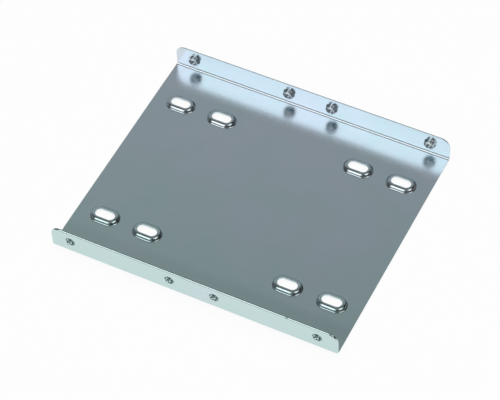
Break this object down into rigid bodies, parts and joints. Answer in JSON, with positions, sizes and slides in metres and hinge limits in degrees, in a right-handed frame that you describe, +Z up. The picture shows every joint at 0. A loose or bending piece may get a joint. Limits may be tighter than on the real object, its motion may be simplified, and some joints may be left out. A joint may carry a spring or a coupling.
{
  "type": "drive bay adapter bracket",
  "caption": "Folded zinc plated steel tray with upturned flanges, raised slotted seats for a small drive and burred tapped side holes for a larger drive bay.",
  "frame": {"origin": "centre of the flat underside", "axes": "+X along the flanges, to the right in the picture; +Y across the tray towards the flange that is at the back in the picture; +Z up, the way the flanges stand"},
  "size_m": [0.118, 0.1016, 0.011],
  "materials": {
    "zinc_plate": "bright zinc plating with a clear bluish passivation, satin to glossy"
  },
  "bodies": {
    "root": {"bracket": "zinc_plate"}
  },
  "joints": []
}
